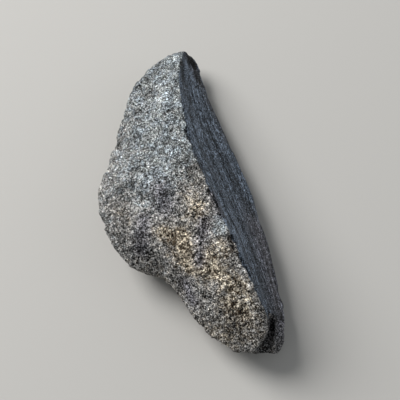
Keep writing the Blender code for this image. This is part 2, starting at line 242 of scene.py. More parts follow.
class Wiring:
    """Adds nodes to one node tree and joins them up."""

    def __init__(self, tree: bpy.types.NodeTree) -> None:
        """Starts from a node tree.

        Args:
            tree: The tree of a material or of a relief.
        """
        self.tree = tree

    def add(self, kind: str, **settings: object) -> bpy.types.Node:
        """Adds one node.

        Args:
            kind: The node's type.
            **settings: Its properties.

        Returns:
            The node.
        """
        node = self.tree.nodes.new(kind)
        for name, value in settings.items():
            setattr(node, name, value)
        return node

    def feed(self, socket: bpy.types.NodeSocket, value: object) -> None:
        """Joins a socket to another, or sets its value.

        Args:
            socket: The input.
            value: An output socket, or a plain value.
        """
        if isinstance(value, bpy.types.NodeSocket):
            self.tree.links.new(value, socket)
        else:
            socket.default_value = value

    def math(self, operation: str, *values: object) -> bpy.types.NodeSocket:
        """Works out a number from others.

        Args:
            operation: The name of the sum.
            *values: Up to three sockets or numbers.

        Returns:
            The result.
        """
        node = self.add("ShaderNodeMath", operation=operation)
        for socket, value in zip(node.inputs, values):
            self.feed(socket, value)
        return node.outputs[0]

    def vector(self, operation: str, *values: object) -> bpy.types.Node:
        """Works out a vector from others.

        Args:
            operation: The name of the sum.
            *values: Up to three sockets or triples.

        Returns:
            The node.
        """
        node = self.add("ShaderNodeVectorMath", operation=operation)
        for socket, value in zip(node.inputs, values):
            self.feed(socket, value)
        return node

    def total(self, *values: object) -> bpy.types.NodeSocket:
        """Adds up any number of sockets and numbers.

        Args:
            *values: What is added.

        Returns:
            The sum.
        """
        result = values[0]
        for value in values[1:]:
            result = self.math("ADD", result, value)
        return result

    def scaled(self, vector: object, *scale: float) -> bpy.types.NodeSocket:
        """Stretches coordinates.

        Args:
            vector: The coordinates.
            *scale: The factor along each axis.

        Returns:
            The stretched coordinates.
        """
        return self.vector("MULTIPLY", vector, scale).outputs[0]

    def swing(self, vector: object, size: float, amount: float, detail: float = 2.0) -> bpy.types.NodeSocket:
        """A smooth noise about 0.

        Args:
            vector: The coordinates, in mm.
            size: The size of its blotches, in mm.
            amount: How strongly it swings.
            detail: How many finer layers it has.

        Returns:
            The noise.
        """
        node = self.add("ShaderNodeTexNoise")
        self.feed(node.inputs["Vector"], vector)
        node.inputs["Scale"].default_value = 1.0 / size
        node.inputs["Detail"].default_value = detail
        return self.math("MULTIPLY_ADD", node.outputs[0], 2.0 * amount, -amount)

    def bent(self, vector: object, size: float, amount: float) -> bpy.types.NodeSocket:
        """Coordinates that wander, so that what is laid out on them has crooked edges.

        Args:
            vector: The coordinates, in mm.
            size: The length of one bend, in mm.
            amount: How far they wander, in mm.

        Returns:
            The bent coordinates.
        """
        node = self.add("ShaderNodeTexNoise")
        self.feed(node.inputs["Vector"], vector)
        node.inputs["Scale"].default_value = 1.0 / size
        sway = self.vector("SUBTRACT", node.outputs["Color"], MIDDLE_COLOUR).outputs[0]
        return self.vector("MULTIPLY_ADD", sway, (2.0 * amount,) * 3, vector).outputs[0]

    def grains(self, vector: object, size: float) -> bpy.types.Node:
        """Splits space into crystal grains.

        Args:
            vector: The coordinates, in mm.
            size: The width of a grain, in mm.

        Returns:
            The node, whose Color is a random colour for each grain and whose Position is its middle.
        """
        node = self.add("ShaderNodeTexVoronoi")
        self.feed(node.inputs["Vector"], vector)
        node.inputs["Scale"].default_value = 1.0 / size
        return node

    def shade(self, grains: bpy.types.Node, amount: float, channel: int = 0) -> bpy.types.NodeSocket:
        """A random number about 0 for each grain.

        Args:
            grains: The grains.
            amount: The width of the range.
            channel: Which of the grain's three random numbers is taken.

        Returns:
            The number.
        """
        split = self.add("ShaderNodeSeparateXYZ")
        self.feed(split.inputs[0], grains.outputs["Color"])
        return self.math("MULTIPLY_ADD", split.outputs[channel], amount, -0.5 * amount)

    def facets(self, vector: object, grains: bpy.types.Node, slope: float) -> bpy.types.NodeSocket:
        """The height of flat crystal faces, each tilted its own way.

        Args:
            vector: The coordinates, in mm.
            grains: The grains that the faces belong to.
            slope: How steep they are.

        Returns:
            The height, in mm.
        """
        offset = self.vector("SUBTRACT", vector, grains.outputs["Position"]).outputs[0]
        tilt = self.vector("SUBTRACT", grains.outputs["Color"], MIDDLE_COLOUR).outputs[0]
        return self.math("MULTIPLY", self.vector("DOT_PRODUCT", offset, tilt).outputs["Value"], 2.0 * slope)

    def rise(self, value: object, low: float, high: float, top: float = 1.0) -> bpy.types.NodeSocket:
        """A smooth rise from 0 to the top value.

        Args:
            value: The number that drives it.
            low: Where the rise starts.
            high: Where it ends.
            top: The value that it ends at.

        Returns:
            The risen value.
        """
        node = self.add("ShaderNodeMapRange", interpolation_type="SMOOTHSTEP")
        for socket, number in zip(node.inputs, (value, low, high, 0.0, top)):
            self.feed(socket, number)
        return node.outputs[0]

    def blend(self, share: object, first: object, second: object) -> bpy.types.NodeSocket:
        """Goes from one number to another.

        Args:
            share: 0 for the first, 1 for the second.
            first: The first number.
            second: The second number.

        Returns:
            The number between.
        """
        node = self.add("ShaderNodeMix", data_type="FLOAT")
        self.feed(node.inputs[0], share)
        self.feed(node.inputs[2], first)
        self.feed(node.inputs[3], second)
        return node.outputs[0]


class MaterialWiring(Wiring):
    """The nodes of a material."""

    def place(self) -> bpy.types.NodeSocket:
        """The coordinates on the stone, in mm."""
        return self.scaled(self.add("ShaderNodeTexCoord").outputs["Object"], *(1.0 / MM,) * 3)

    def map(self, mask: Mask) -> bpy.types.NodeSocket:
        """One of the maps painted on the stone."""
        return self.add("ShaderNodeAttribute", attribute_name=mask.value).outputs["Fac"]

    def along(self) -> bpy.types.NodeSocket:
        """The distances across the cleavage and along it, in mm."""
        return self.add("ShaderNodeAttribute", attribute_name=Mask.ALONG.value).outputs["Vector"]

    def blend_colour(self, share: object, first: object, second: object) -> bpy.types.NodeSocket:
        """Goes from one colour to another.

        Args:
            share: 0 for the first, 1 for the second.
            first: The first colour.
            second: The second colour.

        Returns:
            The colour between.
        """
        node = self.add("ShaderNodeMix", data_type="RGBA")
        self.feed(node.inputs[0], share)
        self.feed(node.inputs[6], first)
        self.feed(node.inputs[7], second)
        return node.outputs[2]


class ReliefWiring(Wiring):
    """The nodes of a relief that moves the surface of the stone."""

    def place(self) -> bpy.types.NodeSocket:
        """The coordinates on the stone, in mm."""
        return self.scaled(self.add("GeometryNodeInputPosition").outputs[0], *(1.0 / MM,) * 3)

    def map(self, mask: Mask) -> bpy.types.NodeSocket:
        """One of the maps painted on the stone."""
        node = self.add("GeometryNodeInputNamedAttribute", data_type="FLOAT")
        node.inputs["Name"].default_value = mask.value
        return node.outputs[0]

    def along(self) -> bpy.types.NodeSocket:
        """The distances across the cleavage and along it, in mm."""
        node = self.add("GeometryNodeInputNamedAttribute", data_type="FLOAT_VECTOR")
        node.inputs["Name"].default_value = Mask.ALONG.value
        return node.outputs[0]

    def raise_surface(self, height: object) -> None:
        """Moves each point of the surface along its normal, from the tree's input to its output.

        Args:
            height: How far, in mm.
        """
        for side in ("INPUT", "OUTPUT"):
            self.tree.interface.new_socket(name="Stone", in_out=side, socket_type="NodeSocketGeometry")
        move = self.add("GeometryNodeSetPosition")
        offset = self.vector("SCALE", self.add("GeometryNodeInputNormal").outputs[0])
        self.feed(offset.inputs["Scale"], self.math("MULTIPLY", height, MM))
        self.feed(move.inputs["Geometry"], self.add("NodeGroupInput").outputs[0])
        self.feed(move.inputs["Offset"], offset.outputs[0])
        self.feed(self.add("NodeGroupOutput").inputs[0], move.outputs[0])


@dataclass(frozen=True)
class RockRelief:
    """The relief of the broken faces and of the cleavage.

    Attributes:
        lump: The size and the height of the lumps, in mm.
        plates: The size of the broad flat breaks in mm, the slope of their faces and the steps between them.
        blocks: The same for the large crystals.
        crystals: The same for the small crystals.
        ripple: The width and the height of the cleavage's broad lines, in mm.
        line: The width and the height of its fine lines, in mm.
        stretch: How many times longer than wide the lines are.
    """

    lump: Pair = (5.0, 0.22)
    plates: Triple = (8.0, 0.08, 0.10)
    blocks: Triple = (2.6, 0.16, 0.12)
    crystals: Triple = (1.2, 0.18, 0.08)
    ripple: Pair = (2.6, 0.12)
    line: Pair = (1.0, 0.05)
    stretch: float = 12.0

    def tree(self) -> bpy.types.NodeTree:
        """Builds the node tree that raises the surface.

        Returns:
            The tree.
        """
        tree = bpy.data.node_groups.new("rock_relief", "GeometryNodeTree")
        w = ReliefWiring(tree)
        place = w.place()
        rough = w.swing(place, *self.lump)
        for size, slope, step in (self.plates, self.blocks, self.crystals):
            grains = w.grains(place, size)
            rough = w.total(rough, w.facets(place, grains, slope), w.shade(grains, step))
        streaked = w.scaled(w.along(), 1.0, 1.0 / self.stretch, 1.0)
        lines = w.total(w.swing(streaked, *self.ripple, 1.0), w.swing(streaked, *self.line, 1.0))
        height = w.math("MULTIPLY", rough, w.map(Mask.ROUGH))
        height = w.math("MULTIPLY_ADD", lines, w.map(Mask.CLEAVAGE), height)
        w.raise_surface(w.math("SUBTRACT", height, w.map(Mask.DEPTH)))
        return tree


@dataclass(frozen=True)
class CrystalGrain:
    """The light and dark crystals of the broken faces.

    Attributes:
        tone: Their mean brightness.
        width: The width of a crystal, in mm.
        grit: The width of the finest specks, in mm.
        crookedness: How far the outlines of both wander, in mm.
        contrast: How much the crystals differ in brightness.
        grit_contrast: How much the finest specks differ in brightness.
        dark_specks: The random numbers at which specks start to darken and are darkest, and how dark.
        painted_glints: The random numbers at which specks start to be painted brighter and are brightest, and
            how much: painted glints of light off crystal faces.
        mottle: The size in mm and the strength of the blotches, from small to large.
        clots: The size in mm and the strength of the further blotches where the stone is stained.
        stained: The warmth at which those start and at which they are full.
        crest_highlight_and_hollow_shade: How much brighter the crests of the relief are painted and how much
            darker its hollows: painted light and painted shade.
        slope: How steep the crystals' faces are.
        grit_slope: How steep the specks' faces are.
    """

    tone: float = 0.395
    width: float = 0.56
    grit: float = 0.30
    crookedness: float = 0.10
    contrast: float = 0.16
    grit_contrast: float = 0.98
    dark_specks: Triple = (0.36, 0.46, -0.30)
    painted_glints: Triple = (0.42, 0.48, 0.30)
    mottle: tuple[Pair, ...] = ((1.4, 0.20), (3.0, 0.34), (9.0, 0.22))
    clots: Pair = (1.4, 0.8)
    stained: Pair = (0.2, 1.0)
    crest_highlight_and_hollow_shade: float = 0.05
    slope: float = 0.10
    grit_slope: float = 0.25

    def shades(self, w: MaterialWiring, place: object) -> tuple[bpy.types.NodeSocket, bpy.types.NodeSocket]:
        """Lays the crystals out.

        Args:
            w: The material's wiring.
            place: The coordinates, in mm.

        Returns:
            The seen brightness, and the height of the fine relief in mm.
        """
        crooked = w.bent(place, self.grit, self.crookedness)
        large = w.grains(crooked, self.width)
        small = w.grains(crooked, self.grit)
        speckle = w.total(w.shade(large, self.contrast), w.shade(small, self.grit_contrast))
        specks = w.rise(w.shade(small, 1.0, 1), *self.dark_specks)
        # Painted glints: a few specks are painted much brighter to stand in for light glinting off crystal
        # faces.
        painted_glints = w.rise(w.shade(small, 1.0, 2), *self.painted_glints)
        stain = w.rise(w.map(Mask.WARMTH), *self.stained)
        clots = w.math("MULTIPLY", w.swing(place, *self.clots), stain)
        mottle = w.total(clots, *(w.swing(place, size, amount) for size, amount in self.mottle))
        # Painted light on the relief's crests and painted shade in its hollows.
        crest = w.math("MULTIPLY", w.map(Mask.CREST), self.crest_highlight_and_hollow_shade)
        value = w.total(speckle, specks, painted_glints, mottle, crest, w.map(Mask.TONE), self.tone)
        return value, w.total(w.facets(crooked, large, self.slope), w.facets(crooked, small, self.grit_slope))


@dataclass(frozen=True)
class CleavageStreaks:
    """The fine lines that run down the cleavage.

    Attributes:
        tone: Their mean brightness.
        short: How many times longer than wide the fine lines are.
        long: How many times longer than wide the other lines are.
        fine: The width in mm and the strength of the fine lines.
        middle: The same for the wider lines.
        broad: The same for the bands.
        specks: The size in mm, the strength and the detail of the specks among the lines.
        blotches: The size in mm and the strength of the blotches.
        height: How far the lines stand up for each unit of brightness, in mm.
    """

    tone: float = 0.30
    short: float = 4.5
    long: float = 18.0
    fine: Pair = (0.40, 0.66)
    middle: Pair = (0.9, 0.40)
    broad: Pair = (3.0, 0.32)
    specks: Triple = (0.36, 0.95, 1.0)
    blotches: Pair = (2.4, 0.16)
    height: float = 0.08

    def shades(self, w: MaterialWiring, place: object) -> tuple[bpy.types.NodeSocket, bpy.types.NodeSocket]:
        """Lays the lines out.

        Args:
            w: The material's wiring.
            place: The coordinates, in mm.

        Returns:
            The seen brightness, and the height of the fine relief in mm.
        """
        short = w.scaled(w.along(), 1.0, 1.0 / self.short, 1.0)
        long = w.scaled(w.along(), 1.0, 1.0 / self.long, 1.0)
        fine = w.swing(short, *self.fine)
        middle = w.swing(long, *self.middle)
        broad = w.swing(long, *self.broad)
        speckle = w.total(w.swing(place, *self.specks), w.swing(place, *self.blotches))
        value = w.total(fine, middle, broad, speckle, w.map(Mask.TONE), self.tone)
        return value, w.math("MULTIPLY", w.total(fine, middle), self.height)


@dataclass(frozen=True)
class StoneTint:
    """The hues of the stone, from cool through grey to ochre, and those of the cleavage and dull places.

    Attributes:
        cool: The tint of the clean grains.
        sage: The other tint of the clean grains.
        grey: The tint of the plain grains.
        ochre: The tint of the light stained grains.
        brown: The tint of the dark stained grains.
        slate: The tint of the cleavage.
        dusk: The tint of the duller places.
        flecks: The size in mm, the strength and the detail of the stain's small patches.
        clouds: The size in mm and the strength of its large patches.
        clean_patch: The size of the patches of cool and of sage grains, in mm.
        to_sage: The noise at which cool starts to turn to sage, and at which it has turned.
        to_grey: The same for clean to grey, by warmth.
        to_stain: The same for grey to stained, by warmth.
        to_ochre: The same for brown to ochre, by brightness.
    """

    cool: Colour = (0.88, 1.0, 1.09, 1.0)
    sage: Colour = (0.93, 1.0, 1.01, 1.0)
    grey: Colour = (1.02, 1.0, 0.97, 1.0)
    ochre: Colour = (1.12, 1.0, 0.80, 1.0)
    brown: Colour = (1.75, 1.0, 0.42, 1.0)
    slate: Colour = (0.81, 1.0, 1.29, 1.0)
    dusk: Colour = (1.0, 0.98, 1.12, 1.0)
    flecks: Triple = (1.7, 1.0, 3.0)
    clouds: Pair = (14.0, 0.3)
    clean_patch: float = 3.5
    to_sage: Pair = (-0.2, 0.2)
    to_grey: Pair = (-0.8, 0.1)
    to_stain: Pair = (0.0, 1.1)
    to_ochre: Pair = (0.15, 0.55)

    def hue(self, w: MaterialWiring, place: object, value: object, on_cleavage: object) -> object:
        """Chooses the tint of each grain.

        Args:
            w: The material's wiring.
            place: The coordinates, in mm.
            value: The seen brightness.
            on_cleavage: 1 on the cleavage and 0 off it.

        Returns:
            The tint.
        """
        warmth = w.total(w.map(Mask.WARMTH), w.swing(place, *self.flecks), w.swing(place, *self.clouds))
        patches = w.swing(place, self.clean_patch, 1.0)
        clean = w.blend_colour(w.rise(patches, *self.to_sage), self.cool, self.sage)
        plain = w.blend_colour(w.rise(warmth, *self.to_grey), clean, self.grey)
        stain = w.blend_colour(w.rise(value, *self.to_ochre), self.brown, self.ochre)
        rough = w.blend_colour(w.rise(warmth, *self.to_stain), plain, stain)
        return w.blend_colour(w.map(Mask.DULL), w.blend_colour(on_cleavage, rough, self.slate), self.dusk)


@dataclass(frozen=True)
class StoneFinish:
    """The stone's one material: salt-and-pepper crystals, an ochre stain and the streaked cleavage.

    Brightnesses are as the eye sees them, from 0 to 1, and the gamma turns them into reflectance.

    Attributes:
        grain: The crystals of the broken faces.
        streaks: The lines of the cleavage.
        tint: The hues of both.
        gamma: The power that turns a seen brightness into reflectance.
        darkest: The least brightness of a grain.
        border: The share of cleavage at which the streaks start, and at which the crystals end.
        border_rag: The size in mm and the strength of the swing that makes that border ragged.
        rough_matt: The roughness of the broken faces.
        cleavage_matt: The roughness of the cleavage.
        shine: The random numbers at which crystals start to shine and shine most, and how much smoother.
        specular: The strength of the reflections.
    """

    grain: CrystalGrain = CrystalGrain()
    streaks: CleavageStreaks = CleavageStreaks()
    tint: StoneTint = StoneTint()
    gamma: float = 2.2
    darkest: float = 0.03
    border: Pair = (0.42, 0.58)
    border_rag: Pair = (1.4, 0.3)
    rough_matt: float = 0.78
    cleavage_matt: float = 0.62
    shine: Triple = (0.3, 0.5, 0.4)
    specular: float = 0.15

    def material(self) -> bpy.types.Material:
        """Builds the material.

        Returns:
            The finished material.
        """
        material = bpy.data.materials.new("nuummite")
        material.use_nodes = True
        shader = material.node_tree.nodes["Principled BSDF"]
        w = MaterialWiring(material.node_tree)
        place = w.place()
        ragged = w.total(w.map(Mask.CLEAVAGE), w.swing(place, *self.border_rag))
        on_cleavage = w.rise(ragged, *self.border)

        rough_value, rough_height = self.grain.shades(w, place)
        streak_value, streak_height = self.streaks.shades(w, place)
        value = w.math("MAXIMUM", w.blend(on_cleavage, rough_value, streak_value), self.darkest)
        colour = w.vector("SCALE", self.tint.hue(w, place, value, on_cleavage))
        w.feed(colour.inputs["Scale"], w.math("POWER", value, self.gamma))
        w.feed(shader.inputs["Base Color"], colour.outputs[0])

        matt = w.blend(on_cleavage, self.rough_matt, self.cleavage_matt)
        gloss = w.rise(w.shade(w.grains(place, self.grain.width), 1.0, 1), *self.shine)
        w.feed(shader.inputs["Roughness"], w.math("SUBTRACT", matt, gloss))
        shader.inputs["Specular IOR Level"].default_value = self.specular

        bump = w.add("ShaderNodeBump")
        bump.inputs["Strength"].default_value = 1.0
        bump.inputs["Distance"].default_value = MM
        w.feed(bump.inputs["Height"], w.blend(on_cleavage, rough_height, streak_height))
        w.feed(shader.inputs["Normal"], bump.outputs[0])
        return material


@dataclass(frozen=True)
class PaleFinish:
    """The plain matt finish of the floor.

    Attributes:
        colour: Its colour.
        roughness: Its roughness.
    """

    colour: Colour = (0.56, 0.55, 0.53, 1.0)
    roughness: float = 0.9

    def material(self) -> bpy.types.Material:
        """Builds the material.

        Returns:
            The finished material.
        """
        material = bpy.data.materials.new("pale_floor")
        material.use_nodes = True
        shader = material.node_tree.nodes["Principled BSDF"]
        shader.inputs["Base Color"].default_value = self.colour
        shader.inputs["Roughness"].default_value = self.roughness
        return material


@dataclass(frozen=True)
class Cleavage:
    """The streaked face between the ridge and the stone's right edge.

    Attributes:
        ridge: The edge between the front and the cleavage, from foot to tip, in mm.
        right_edge: The cleavage's outer edge, from foot to tip, in mm.
        foot: The place along the stone where the cleavage ends, in mm.
        width: Its width, in mm, by which the distance past the ridge is reckoned.
        ridge_border: The distances past the ridge at which it starts and is full, in mm.
        foot_border: The distances past its foot at which it starts and is full, in mm.
        foot_rag: How many times more ragged its foot is than its border at the ridge.
        rag: The size in mm, the strength in mm and the seed of the raggedness.
        facing: The direction that it faces.
        facing_share: How much a place has to face that way: from, to.
        facing_rounds: How far around each point the normals are averaged for that.
        sway: The size in mm, the strength in mm and the seed of the swing that bends its streaks.
    """

    ridge: Line = (
        (23.1, -58.3, 23.5),
        (17.9, -41.1, 33.4),
        (12.5, -13.0, 38.4),
        (8.6, 12.2, 35.4),
        (8.6, 26.8, 31.4),
        (11.4, 51.0, 23.4),
        (17.0, 66.4, 13.0),
    )
    right_edge: Line = (
        (32.3, -58.8, 7.5),
        (32.2, -34.6, 9.4),
        (31.4, -11.4, 9.4),
        (28.5, 14.8, 9.4),
        (23.5, 41.0, 9.0),
        (22.8, 62.4, 7.0),
    )
    foot: float = -56.8
    width: float = 12.0
    ridge_border: Pair = (-0.2, 0.8)
    foot_border: Pair = (0.0, 3.0)
    foot_rag: float = 3.0
    rag: Triple = (2.5, 0.5, 3.0)
    facing: Point = (0.80, 0.06, 0.58)
    facing_share: Pair = (0.42, 0.62)
    facing_rounds: int = 4
    sway: Triple = (9.0, 0.8, 7.0)

    def share(self, surface: Surface) -> np.ndarray:
        """Finds the cleavage: between the ridge and the right edge, and facing the right way.

        Args:
            surface: The stone's surface.

        Returns:
            A share for each point.
        """
        x, y, _ = surface.points.T
        inner = along_line(self.ridge, y)[:, 0]
        outer = along_line(self.right_edge, y)[:, 0]
        across = (x - inner) / (outer - inner)
        facing = surface.spread(surface.normals, self.facing_rounds) @ np.array(self.facing)
        rag = surface.noise(*self.rag)
        past_ridge = soft_step(across * self.width + rag, *self.ridge_border)
        past_foot = soft_step(y - self.foot + self.foot_rag * rag, *self.foot_border)
        return past_ridge * past_foot * soft_step(facing, *self.facing_share)

    def streak_places(self, surface: Surface) -> np.ndarray:
        """Measures the distance across the cleavage and along it.

        Args:
            surface: The stone's surface.

        Returns:
            One row for each point: across, along and 0, in mm.
        """
        y = surface.points[:, 1]
        inner = along_line(self.ridge, y)
        run = along_line(self.right_edge, y) - inner
        share = np.einsum("ij,ij->i", surface.points - inner, run) / np.einsum("ij,ij->i", run, run)
        usual_width = np.median(np.linalg.norm(run, axis=1))
        across = share * usual_width + surface.noise(*self.sway)
        return np.stack([across, y, np.zeros(surface.count)], axis=1)


@dataclass
class RawStone:
    """The whole stone, modelled finely over the solid that it replaces.

    Attributes:
        node: The solid's name.
        voxel: The width of the fine mesh's cells, in metres.
        merge: The distance at which loose corners are the same point, in metres.
        smoothing: How far one round of smoothing moves a point towards its neighbours.
        first_rounds: How often the whole surface is smoothed.
        face_rounds: How often the faces are smoothed after that.
        edge_reach: How far around each point the normals are compared to find the edges.
        edge_turn: The turn of the normals at which a place counts as an edge: from, to.
        edge_spread: How far the edges are widened.
        edge_hold: How much of the smoothing is kept off an edge.
        footing: The heights above the floor at which the relief starts and is full, in mm.
        painted_slit_shade: How much painted shade darkens a slit for each mm of its depth.
        crest_rounds: How far around each point the surface is levelled to find its crests.
        crest_height: The height of a full crest above that level, in mm.
        cleavage: Its cleavage.
        slits: The cracks and grooves, with their depths in mm.
        swells: Where the outline stands out a little further, above 0, or less far, below 0, in mm.
        warmth: Where the grains are cool, below 0, or stained with ochre, above 0.
        dullness: Where the stone is a duller, purplish grey.
        tones_with_painted_shade: Where the stone is lighter, above 0, or darker, below 0; the darker marks in
            the foot's crease, over the lump behind it and on the tip's ridge are painted shade, and the tip's
            dark facet is partly painted shade.
        relief: Its relief.
        finish: Its finish.
    """

    node: str = "nuummite_stone"
    voxel: float = 0.485 * MM
    merge: float = 0.001 * MM
    smoothing: float = 0.5
    first_rounds: int = 3
    face_rounds: int = 45
    edge_reach: int = 6
    edge_turn: Pair = (0.02, 0.07)
    edge_spread: int = 2
    edge_hold: float = 0.94
    footing: Pair = (0.3, 2.2)
    painted_slit_shade: float = 0.35
    crest_rounds: int = 4
    crest_height: float = 0.15
    cleavage: Cleavage = Cleavage()
    slits: tuple[Stroke, ...] = (
        Stroke((8.6, 23.0, 31.0), (8.9, 19.1, 31.7), 0.9, 0.9),
        Stroke((11.3, -5.4, 36.7), (13.1, -12.6, 36.8), 0.8, 0.9),
        Stroke((15.1, -25.4, 35.7), (14.9, -29.6, 34.9), 0.9, 1.1),
        Stroke((16.7, -33.3, 35.1), (19.1, -40.2, 31.1), 0.8, 0.9),
        Stroke((-19.3, 31.5, 15.5), (-17.8, 26.0, 18.5), 0.8, 0.9),
    )
    swells: tuple[Stroke, ...] = (
        Stroke((-22.3, 27.5, 14.5), (-25.0, 22.5, 15.8), 2.5, -1.1),
        Stroke((-16.5, 38.0, 13.5), (-18.6, 33.5, 13.5), 3.0, -0.7),
        Stroke((-13.0, 43.5, 15.0), (-7.0, 52.5, 15.3), 3.0, 0.9),
        Stroke((-5.5, 54.5, 15.3), (0.9, 60.2, 15.6), 2.5, 0.6),
        Stroke((4.0, 62.9, 15.2), (10.5, 65.7, 13.8), 2.5, -0.6),
        Stroke((18.8, 67.1, 10.5), (22.5, 60.0, 7.0), 2.8, 0.4),
        Stroke((22.9, 53.0, 7.4), (23.6, 46.5, 8.0), 2.5, -0.4),
        Stroke((-26.9, 17.1, 14.8), (-30.0, 10.9, 15.8), 3.0, 0.7),
        Stroke((-29.5, -10.9, 14.0), (-27.8, -16.2, 14.8), 3.0, -0.8),
        Stroke((-25.5, -19.3, 14.0), (-22.5, -22.5, 13.5), 2.0, 0.5),
        Stroke((-6.5, -40.5, 11.0), (1.4, -54.0, 10.1), 3.0, 0.6),
        Stroke((1.4, -54.0, 10.1), (7.5, -62.0, 10.5), 3.0, 0.8),
        Stroke((13.0, -65.0, 10.0), (24.3, -66.4, 9.2), 2.5, -0.8),
        Stroke((31.5, -33.0, 8.0), (31.5, -48.0, 8.0), 3.0, 0.4),
    )
    warmth: tuple[Stroke, ...] = (
        Stroke((8.4, 63.0, 15.7), (-2.2, 12.7, 31.2), 24.0, -0.8),
        Stroke((7.7, 1.5, 36.2), (-1.5, -24.7, 29.0), 8.0, 0.5),
        Stroke((2.0, -30.1, 28.1), (14.6, -46.0, 28.0), 8.0, 0.4),
        Stroke((5.7, -56.9, 14.2), (16.5, -60.6, 19.6), 9.0, 0.45),
        Stroke((2.5, -2.1, 33.4), (3.8, -10.5, 34.9), 4.0, 0.4),
        Stroke((6.5, -10.6, 35.8), (6.2, -16.9, 34.9), 3.0, 0.5),
        Stroke((-8.8, -15.1, 27.8), (-4.9, -18.8, 28.7), 3.5, 0.9),
        Stroke((-3.0, -19.5, 29.4), (-2.2, -24.3, 28.5), 3.0, 1.0),
        Stroke((-7.0, -24.4, 24.4), (-2.9, -29.1, 24.5), 3.5, 0.4),
        Stroke((-1.9, -29.9, 24.9), (2.7, -34.0, 26.8), 3.0, 0.6),
        Stroke((11.1, -26.2, 34.7), (12.1, -30.2, 33.9), 3.0, 0.7),
        Stroke((6.4, -29.7, 31.4), (7.1, -34.9, 29.2), 3.0, 0.6),
        Stroke((8.3, -36.6, 28.6), (12.4, -42.4, 28.7), 3.5, 0.45),
        Stroke((15.4, -42.3, 31.3), (16.6, -47.4, 28.7), 3.0, 0.3),
        Stroke((9.6, -47.9, 23.2), (13.8, -51.8, 23.5), 4.0, 0.7),
        Stroke((-13.2, -9.7, 27.1), (-11.0, -14.4, 27.1), 4.0, 0.3),
        Stroke((-24.5, 0.5, 23.0), (-20.0, -5.0, 25.5), 4.5, 0.5),
        Stroke((11.7, -18.6, 37.3), (12.0, -22.1, 36.5), 2.5, -0.9),
        Stroke((-12.0, -28.0, 5.0), (6.0, -48.0, 1.0), 9.0, 0.6),
        Stroke((-14.0, 30.0, 8.0), (-2.0, 47.0, 6.0), 8.0, 0.5),
    )
    dullness: tuple[Stroke, ...] = (
        Stroke((29.0, -18.0, 15.0), (29.0, -56.0, 12.0), 9.0, 0.9),
        Stroke((19.5, 65.0, 10.5), (21.4, 51.6, 9.4), 2.5, 0.7),
        Stroke((23.5, 45.0, 9.0), (26.5, 26.0, 10.0), 3.0, 0.5),
        Stroke((-6.8, 1.0, 30.9), (-6.1, -5.1, 29.7), 4.0, 0.7),
        Stroke((-15.8, -8.9, 26.5), (-18.9, -18.1, 21.2), 3.0, 0.7),
        Stroke((6.6, -17.1, 35.3), (1.7, -29.8, 27.4), 2.5, 0.8),
        Stroke((12.4, -7.2, 36.2), (13.4, -16.0, 37.0), 2.0, 0.7),
        Stroke((-4.7, -34.8, 18.9), (-3.7, -40.9, 16.0), 3.0, 0.7),
    )
